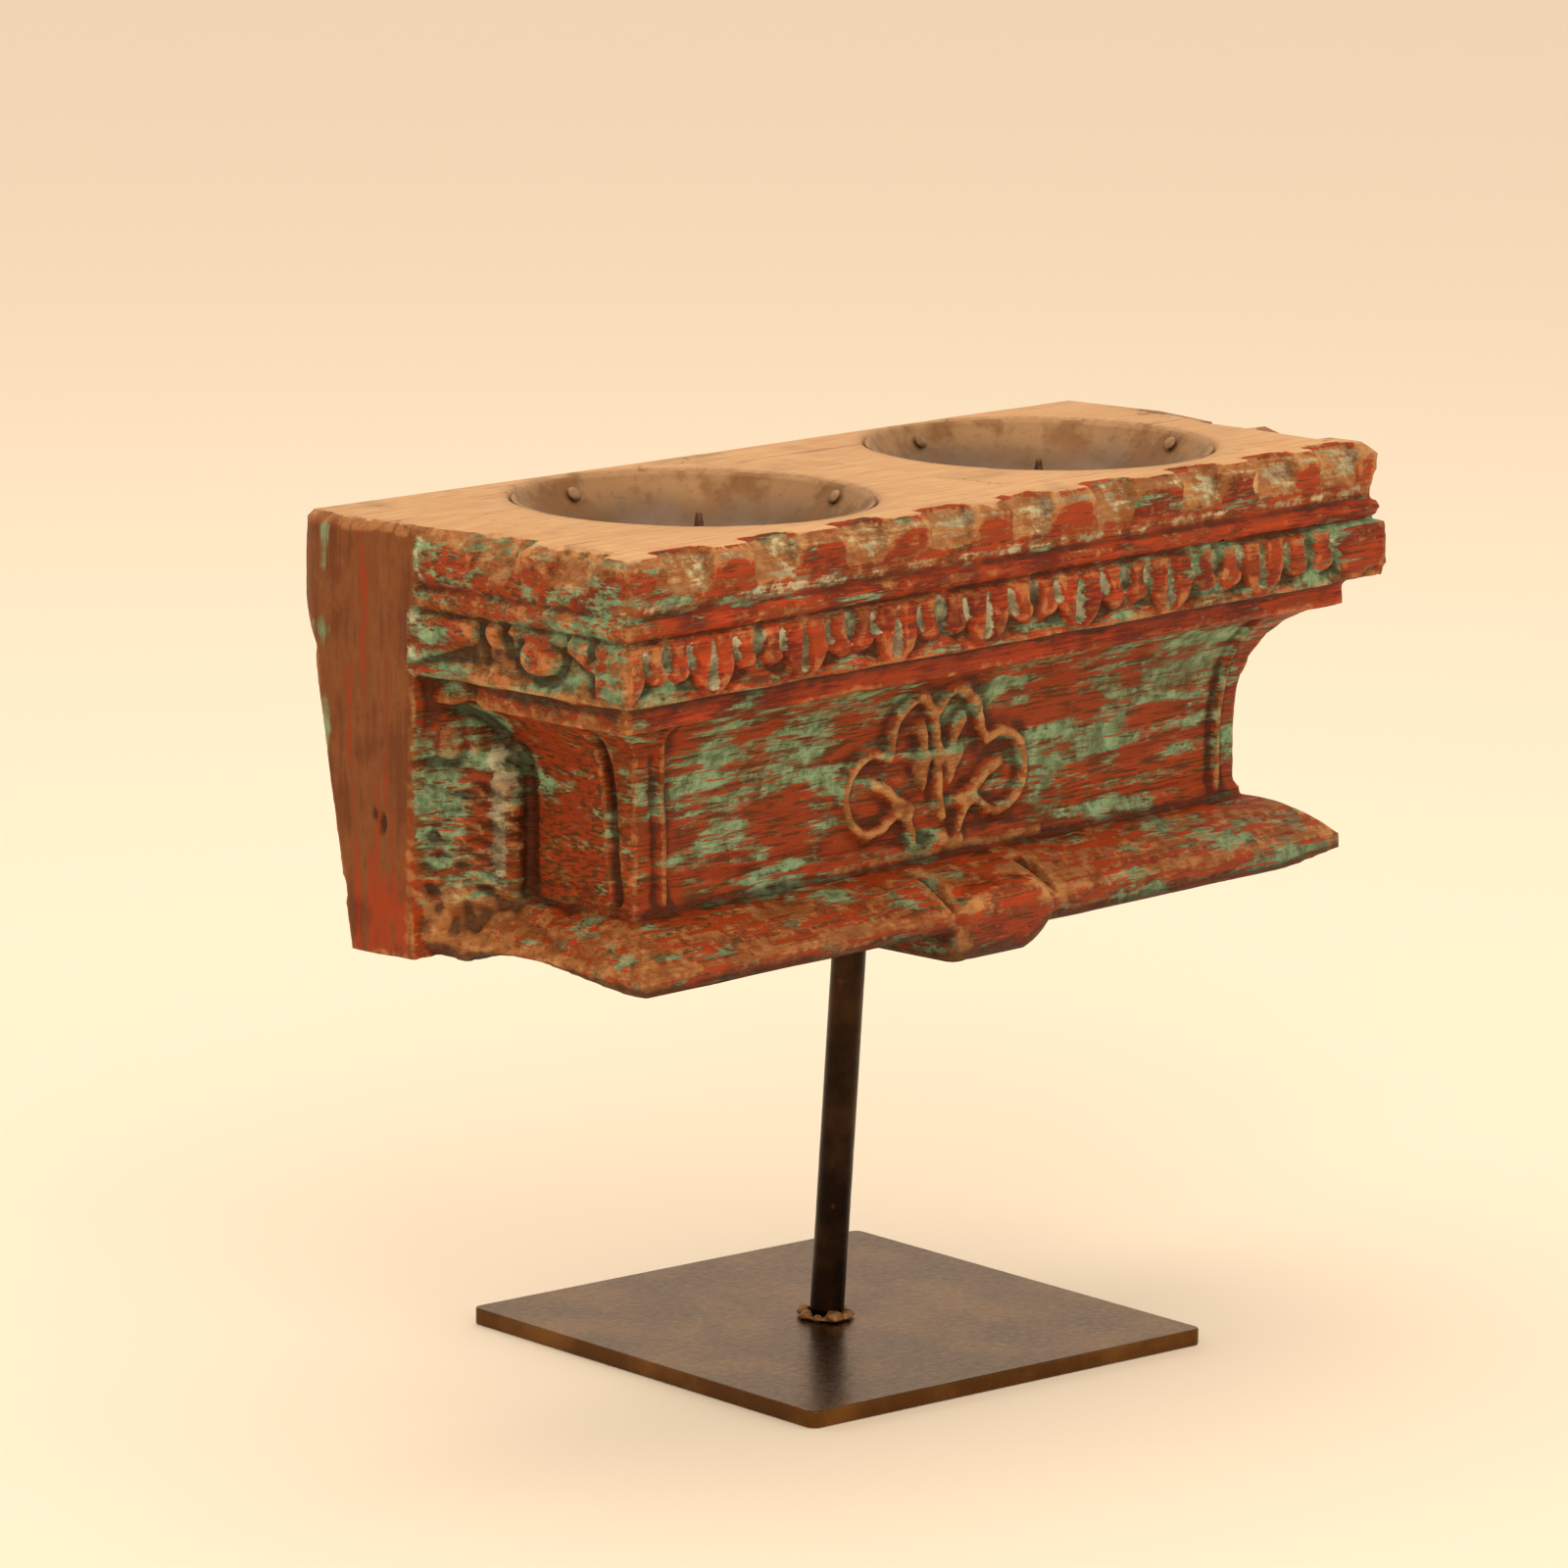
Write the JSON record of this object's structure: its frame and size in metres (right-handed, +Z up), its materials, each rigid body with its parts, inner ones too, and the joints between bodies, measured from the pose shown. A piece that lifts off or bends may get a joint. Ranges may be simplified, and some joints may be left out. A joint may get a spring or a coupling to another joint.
{
  "type": "wooden bracket",
  "caption": "Old carved and painted wooden bracket with leaf band and palmette, re-used as a candle holder: metal bowls let into its top, on a leaning steel rod and square steel plate.",
  "frame": {"origin": "centre of the square plate's underside, on the surface it stands on", "axes": "+Z up; +X along the bracket's length, to the right seen from its carved front; -Y out of the carved front, +Y towards the plain plank at the back"},
  "size_m": [0.3268, 0.1652, 0.2515],
  "materials": {
    "painted_wood": "worn red paint over turquoise, bare brown wood showing through",
    "blackened_steel": "blackened, satin, with brown wear",
    "bowl_metal": "thin sheet with a grey-brown patina",
    "dark_iron": "dark, dull",
    "weld": "rough, lightly rusted"
  },
  "bodies": {
    "root": {"bracket": "painted_wood", "base_plate": "blackened_steel", "post": "blackened_steel", "weld_bead": "weld", "bowl_left": "bowl_metal", "spike_left": "dark_iron", "nail_left_1": "dark_iron", "nail_left_2": "dark_iron", "nail_left_3": "dark_iron", "nail_left_4": "dark_iron", "bowl_right": "bowl_metal", "spike_right": "dark_iron", "nail_right_1": "dark_iron", "nail_right_2": "dark_iron", "nail_right_3": "dark_iron", "nail_right_4": "dark_iron"}
  },
  "joints": []
}
